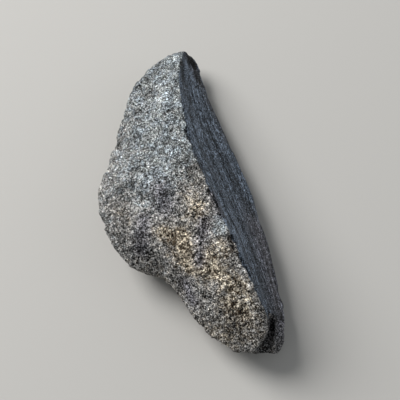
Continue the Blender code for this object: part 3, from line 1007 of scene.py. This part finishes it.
    tones_with_painted_shade: tuple[Stroke, ...] = (
        Stroke((6.7, 48.6, 22.9), (-0.2, 35.8, 26.0), 3.0, 0.07),
        Stroke((6.5, 13.9, 34.0), (5.6, 2.5, 34.9), 2.2, -0.13),
        Stroke((-6.8, 1.0, 30.9), (-6.1, -5.1, 29.7), 2.4, -0.15),
        Stroke((-0.6, -0.3, 32.7), (-10.6, -1.9, 29.5), 2.2, -0.08),
        Stroke((-15.8, -8.9, 26.5), (-18.9, -18.1, 21.2), 2.4, -0.13),
        Stroke((6.6, -17.1, 35.3), (1.7, -29.8, 27.4), 2.2, -0.15),
        Stroke((2.1, -7.6, 33.7), (5.3, -21.0, 33.6), 5.0, -0.05),
        Stroke((-8.0, 36.0, 24.0), (-3.0, 22.0, 28.5), 6.0, 0.03),
        Stroke((12.4, -7.2, 36.2), (13.4, -16.0, 37.0), 1.8, -0.12),
        Stroke((-16.9, -4.6, 27.2), (-13.0, -5.4, 27.9), 2.2, 0.10),
        Stroke((3.8, -5.3, 34.3), (4.3, -9.8, 35.0), 2.0, 0.06),
        Stroke((-7.9, -16.3, 28.0), (-4.9, -18.8, 28.7), 2.4, -0.13),
        Stroke((-3.2, -20.1, 28.9), (-2.5, -23.9, 28.5), 2.2, 0.13),
        Stroke((-6.3, -24.8, 25.0), (-2.8, -28.9, 25.0), 2.4, 0.14),
        Stroke((11.7, -18.6, 37.3), (12.4, -22.2, 36.7), 2.0, 0.12),
        Stroke((11.4, -26.6, 34.5), (11.8, -29.8, 34.0), 2.2, 0.18),
        Stroke((6.2, -30.4, 31.1), (7.3, -34.3, 29.8), 2.2, 0.14),
        Stroke((8.9, -37.5, 28.3), (12.1, -42.0, 28.8), 2.6, 0.09),
        Stroke((1.5, -35.5, 24.5), (9.5, -45.0, 25.0), 3.2, 0.09),
        Stroke((-4.7, -34.8, 18.9), (-3.7, -40.9, 16.0), 2.4, -0.08),
        Stroke((10.2, -48.9, 23.3), (13.5, -51.3, 23.6), 2.8, -0.14),
        Stroke((6.9, -53.3, 18.5), (10.9, -56.4, 19.0), 2.6, -0.11),
        Stroke((16.4, -43.3, 31.1), (16.7, -48.7, 27.5), 1.8, 0.08),
        Stroke((-28.5, -2.0, 19.0), (-26.0, -12.0, 18.5), 3.0, -0.08),
        # At the tip: a painted shadow on the ridge, a lighter band on the cleavage, and the dark facet along
        # the right edge, which is partly dark mineral and partly painted shade of a facet turned from the
        # light.
        Stroke((14.8, 59.5, 17.5), (13.6, 50.5, 20.0), 1.4, -0.20),
        Stroke((17.1, 62.0, 14.0), (18.4, 53.0, 13.0), 1.1, 0.16),
        Stroke((18.9, 66.4, 10.8), (20.2, 62.6, 9.6), 2.8, -0.30),
        Stroke((20.2, 62.6, 9.6), (21.4, 51.6, 9.4), 1.9, -0.24),
        Stroke((11.7, 39.0, 25.1), (10.5, 13.7, 32.1), 1.4, 0.07),
        Stroke((14.6, 48.5, 18.5), (17.2, 26.5, 19.8), 1.5, -0.07),
        Stroke((18.5, 32.1, 16.9), (23.1, 10.8, 16.3), 1.8, -0.08),
        Stroke((23.1, 10.8, 16.3), (26.2, -7.4, 15.9), 3.0, -0.10),
        Stroke((24.0, -36.0, 23.0), (27.0, -56.0, 16.0), 5.0, -0.06),
        # Painted shade in the crease between the foot's lobe and the lump behind it, and over the lump where
        # the lobe shades it.
        Stroke((24.5, -56.0, 17.0), (21.0, -63.0, 10.0), 2.9, -0.26),
        Stroke((27.0, -58.0, 13.0), (25.0, -64.0, 10.0), 4.0, -0.08),
    )
    relief: RockRelief = RockRelief()
    finish: StoneFinish = StoneFinish()

    def build(self) -> bpy.types.Object:
        """Makes the stone and its material.

        Returns:
            The finished piece.
        """
        piece = self.copy_of_solid()
        self.modify(piece, "REMESH", mode="VOXEL", voxel_size=self.voxel, use_smooth_shade=True)
        self.smooth_faces(piece)
        self.part_surface(piece)
        self.modify(piece, "NODES", node_group=self.relief.tree())
        self.paint(piece)
        piece.data.materials.clear()
        piece.data.materials.append(self.finish.material())
        log.info("%s: %d faces", piece.name, len(piece.data.polygons))
        return piece

    def copy_of_solid(self) -> bpy.types.Object:
        """Copies the solid, frees the copy and merges its loose triangles.

        Returns:
            The copy, as a piece of its own.
        """
        only(frame["nodes"][self.node])
        bpy.ops.object.duplicate(linked=False)
        piece = bpy.context.view_layer.objects.active
        piece.name = piece.data.name = "raw_stone"
        bpy.ops.object.parent_clear(type="CLEAR_KEEP_TRANSFORM")
        for key in list(piece.keys()):
            del piece[key]
        only(piece)
        bpy.ops.object.mode_set(mode="EDIT")
        bpy.ops.mesh.select_all(action="SELECT")
        bpy.ops.mesh.remove_doubles(threshold=self.merge)
        bpy.ops.object.mode_set(mode="OBJECT")
        return piece

    def modify(self, piece: bpy.types.Object, kind: str, **settings: object) -> None:
        """Adds a modifier and applies it.

        Args:
            piece: The piece.
            kind: The modifier's type.
            **settings: Its properties.
        """
        only(piece)
        bpy.ops.object.modifier_add(type=kind)
        modifier = piece.modifiers[-1]
        for name, value in settings.items():
            setattr(modifier, name, value)
        bpy.ops.object.modifier_apply(modifier=modifier.name)

    def smooth_faces(self, piece: bpy.types.Object) -> None:
        """Takes the flats of the solid out of the faces, and leaves the stone's edges sharp.

        Args:
            piece: The piece.
        """
        self.modify(piece, "SMOOTH", factor=self.smoothing, iterations=self.first_rounds)
        surface = Surface(piece)
        sharp = soft_step(surface.sharpness(self.edge_reach), *self.edge_turn)
        faces = piece.vertex_groups.new(name="faces")
        for index, share in enumerate(surface.spread(sharp, self.edge_spread)):
            faces.add([index], 1.0 - self.edge_hold * float(share), "REPLACE")
        rounds = self.face_rounds
        self.modify(piece, "SMOOTH", factor=self.smoothing, iterations=rounds, vertex_group=faces.name)

    def part_surface(self, piece: bpy.types.Object) -> None:
        """Marks the cleavage, the broken faces, the slits and the swells, and lays the streaks out.

        Args:
            piece: The piece.
        """
        surface = Surface(piece)
        cleavage = surface.spread(self.cleavage.share(surface), 1)
        above_floor = soft_step(surface.points[:, 2], *self.footing)
        self.store(piece, Mask.CLEAVAGE, cleavage)
        self.store(piece, Mask.ROUGH, (1.0 - cleavage) * above_floor)
        self.store(piece, Mask.DEPTH, surface.strokes(self.slits) - surface.strokes(self.swells))
        self.store(piece, Mask.ALONG, self.cleavage.streak_places(surface))

    def store(self, piece: bpy.types.Object, mask: Mask, values: np.ndarray) -> None:
        """Stores one of the maps that the relief and the material read.

        Args:
            piece: The piece.
            mask: The map.
            values: One number, or one row of three, for each point.
        """
        many = values.ndim > 1
        stored = piece.data.attributes.new(mask.value, "FLOAT_VECTOR" if many else "FLOAT", "POINT")
        stored.data.foreach_set("vector" if many else "value", values.astype(np.float32).ravel())

    def paint(self, piece: bpy.types.Object) -> None:
        """Paints the stain, the duller places, the tones with their painted shade, the painted shade in the
        slits, and the painted light on the crests and painted shade in the hollows.

        Args:
            piece: The piece.
        """
        surface = Surface(piece)
        self.store(piece, Mask.WARMTH, surface.strokes(self.warmth))
        self.store(piece, Mask.DULL, surface.strokes(self.dullness))
        # Painted shade in the slits and grooves, darker the deeper they are.
        slits = self.painted_slit_shade * surface.strokes(self.slits)
        self.store(piece, Mask.TONE, surface.strokes(self.tones_with_painted_shade) - slits)
        # How far each point stands above or sinks below its surroundings, for the painted light on crests and
        # painted shade in hollows.
        level = surface.spread(surface.points, self.crest_rounds)
        crest = np.einsum("ij,ij->i", surface.points - level, surface.normals)
        self.store(piece, Mask.CREST, np.clip(crest / self.crest_height, -1.0, 1.0))


@dataclass
class Floor:
    """The plain surface that the stone rests on.

    Attributes:
        half_side: Half its width, in metres.
        gap: How far it lies below the stone, in metres.
        finish: Its finish.
    """

    half_side: float = 6.0
    gap: float = 0.02 * MM
    finish: PaleFinish = PaleFinish()

    def build(self) -> bpy.types.Object:
        """Makes the floor.

        Returns:
            The floor.
        """
        bpy.ops.object.select_all(action="DESELECT")
        bpy.ops.mesh.primitive_plane_add(size=2.0 * self.half_side, location=(0.0, 0.0, -self.gap))
        floor = bpy.context.view_layer.objects.active
        floor.name = "floor"
        floor.data.materials.append(self.finish.material())
        log.info("%s: %.1f m wide", floor.name, 2.0 * self.half_side)
        return floor


@dataclass
class StudioLight:
    """One large soft light, aimed at the stone.

    Attributes:
        name: Its name.
        direction: The direction that it stands in, seen from the stone.
        distance: How far away it stands, in metres.
        size: Its width, in metres.
        power: Its power, in watts.
        colour: Its colour.
    """

    name: str
    direction: Point
    distance: float
    size: float
    power: float
    colour: Triple

    def build(self) -> bpy.types.Object:
        """Makes the light.

        Returns:
            The light.
        """
        towards = Vector(self.direction).normalized()
        bpy.ops.object.select_all(action="DESELECT")
        bpy.ops.object.light_add(type="AREA", location=towards * self.distance)
        light = bpy.context.view_layer.objects.active
        light.name = self.name
        light.rotation_euler = towards.to_track_quat("Z", "Y").to_euler()
        light.data.shape = "DISK"
        light.data.size = self.size
        light.data.energy = self.power
        light.data.color = self.colour
        log.info("%s: %.0f W", light.name, self.power)
        return light


@dataclass
class Studio:
    """The lights, the surroundings and how the picture shows them.

    Attributes:
        surroundings: The colour of the light from all round.
        surroundings_strength: Its strength.
        lights: The soft lights.
    """

    surroundings: Colour = (0.95, 0.98, 1.0, 1.0)
    surroundings_strength: float = 0.25
    lights: tuple[StudioLight, ...] = (
        StudioLight("key", (-0.50, 0.60, 0.62), 1.4, 0.9, 24.0, (1.0, 0.99, 0.97)),
        StudioLight("fill", (0.85, -0.10, 0.45), 1.6, 1.0, 2.0, (0.9, 0.96, 1.0)),
    )

    def build(self) -> None:
        """Sets the studio up."""
        world = bpy.data.worlds.new("studio")
        world.use_nodes = True
        background = world.node_tree.nodes["Background"]
        background.inputs["Color"].default_value = self.surroundings
        background.inputs["Strength"].default_value = self.surroundings_strength
        bpy.context.scene.world = world
        bpy.context.scene.view_settings.view_transform = "Standard"
        for light in self.lights:
            light.build()


@dataclass
class PhotoCamera:
    """The camera at the photograph's angle.

    Attributes:
        target: The point that it looks at, in mm.
        azimuth: Its turn about the vertical, in degrees.
        elevation: Its height above the horizon, in degrees.
        distance: How far it stands from the target, in metres.
        lens: Its focal length, in mm.
        sensor: The width of its sensor, in mm.
        nearest: The distance at which it starts to see, in metres.
    """

    target: Point = (8.553, -1.765, 17.45)
    azimuth: float = -13.0
    elevation: float = 70.0
    distance: float = 0.45
    lens: float = 101.25
    sensor: float = 36.0
    nearest: float = 0.01

    def build(self) -> bpy.types.Object:
        """Makes the camera and puts it to use.

        Returns:
            The camera.
        """
        azimuth, elevation = math.radians(self.azimuth), math.radians(self.elevation)
        level = math.cos(elevation)
        back = Vector((math.sin(azimuth) * level, -math.cos(azimuth) * level, math.sin(elevation)))
        bpy.ops.object.select_all(action="DESELECT")
        bpy.ops.object.camera_add(location=Vector(self.target) * MM + back * self.distance)
        camera = bpy.context.view_layer.objects.active
        camera.name = "photo_camera"
        camera.rotation_euler = (-back).to_track_quat("-Z", "Y").to_euler()
        camera.data.sensor_width = self.sensor
        camera.data.lens = self.lens
        camera.data.clip_start = self.nearest
        bpy.context.scene.camera = camera
        log.info("%s: %.0f degrees above the horizon", camera.name, self.elevation)
        return camera


def main() -> None:
    """Builds the stone, the floor, the lights and the camera."""
    logging.basicConfig(level=logging.INFO, format="%(name)s: %(message)s")
    stone = RawStone().build()
    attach(stone, "root")
    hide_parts("nuummite_stone")
    Floor().build()
    Studio().build()
    PhotoCamera().build()


if __name__ == "__main__":
    main()
